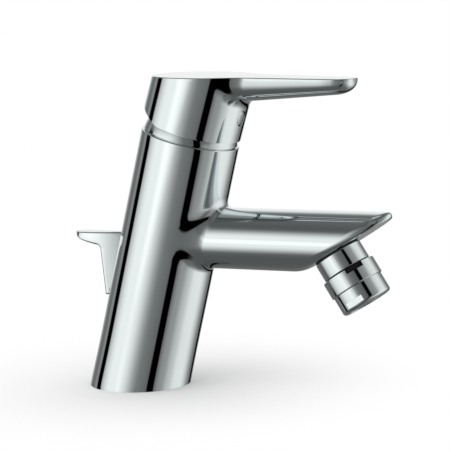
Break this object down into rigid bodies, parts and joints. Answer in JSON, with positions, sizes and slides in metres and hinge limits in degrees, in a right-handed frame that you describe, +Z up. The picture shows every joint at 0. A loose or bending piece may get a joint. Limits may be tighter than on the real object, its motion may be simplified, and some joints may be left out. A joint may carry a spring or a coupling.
{
  "type": "bidet mixer",
  "caption": "Chromed single-lever bidet mixer with a leaning round body, a level spout, a swivel nozzle and a pull knob for the pop-up waste",
  "frame": {"origin": "centre of the base face, at the mouth of the fixing stud's hole", "axes": "+X towards the spout, +Z up, +Y to the left seen from behind the body"},
  "size_m": [0.1619, 0.047, 0.1472],
  "materials": {
    "chrome_plate": "polished chrome plate on cast brass",
    "turned_brass": "turned, bare",
    "pressed_steel": "turned stainless",
    "dark_steel": "blackened",
    "white_acetal": "moulded",
    "blue_acetal": "moulded",
    "grey_acetal": "moulded",
    "sintered_ceramic": "lapped",
    "black_rubber": "moulded"
  },
  "bodies": {
    "fixed": {"body": "chrome_plate", "base_seal": "black_rubber", "rod_guide": "white_acetal", "cartridge_base": "white_acetal", "port_seals": "black_rubber", "cartridge_housing": "white_acetal", "fixed_disc": "sintered_ceramic", "retaining_nut": "turned_brass", "shroud": "chrome_plate", "nozzle_connector": "chrome_plate", "connector_washer": "black_rubber"},
    "turret": {"rotor": "grey_acetal", "pivot_pin": "pressed_steel"},
    "lever_arm": {"lever": "chrome_plate", "spindle": "turned_brass", "set_screw": "dark_steel", "index_plug": "chrome_plate"},
    "discs": {"moving_disc": "sintered_ceramic", "disc_carrier": "blue_acetal"},
    "seat_ring": {"ball_seat": "white_acetal"},
    "nozzle": {"nozzle_ball": "turned_brass", "nozzle_cup": "chrome_plate", "aerator_housing": "chrome_plate", "aerator_washer": "black_rubber", "aerator_insert": "grey_acetal"},
    "pull": {"popup_rod": "pressed_steel", "popup_knob": "chrome_plate"}
  },
  "joints": [
    {"name": "lever_turn", "type": "hinge", "parent": "fixed", "child": "turret", "pos_m": [0.03093, 0, 0.11543], "axis": [0.2588, 0, 0.9659], "range_deg": [-50, 50]},
    {"name": "lever_lift", "type": "hinge", "parent": "turret", "child": "lever_arm", "pos_m": [0.03093, 0, 0.11543], "axis": [0, -1, 0], "range_deg": [0, 24]},
    {"name": "disc_slide", "type": "slide", "parent": "turret", "child": "discs", "axis": [0.9659, 0, -0.2588], "range_m": [0, 0.00613]},
    {"name": "nozzle_pitch", "type": "hinge", "parent": "fixed", "child": "seat_ring", "pos_m": [0.10904, 0, 0.05825], "axis": [0, 1, 0], "range_deg": [-10, 10]},
    {"name": "nozzle_roll", "type": "hinge", "parent": "seat_ring", "child": "nozzle", "pos_m": [0.10904, 0, 0.05825], "axis": [0.8434, 0, 0.5373], "range_deg": [-10, 10]},
    {"name": "pull_slide", "type": "slide", "parent": "fixed", "child": "pull", "axis": [0, 0, 1], "range_m": [0, 0.015]}
  ],
  "couplings": [
    {"joint": "disc_slide", "follows": "lever_lift", "m_per_rad": 0.014503}
  ]
}
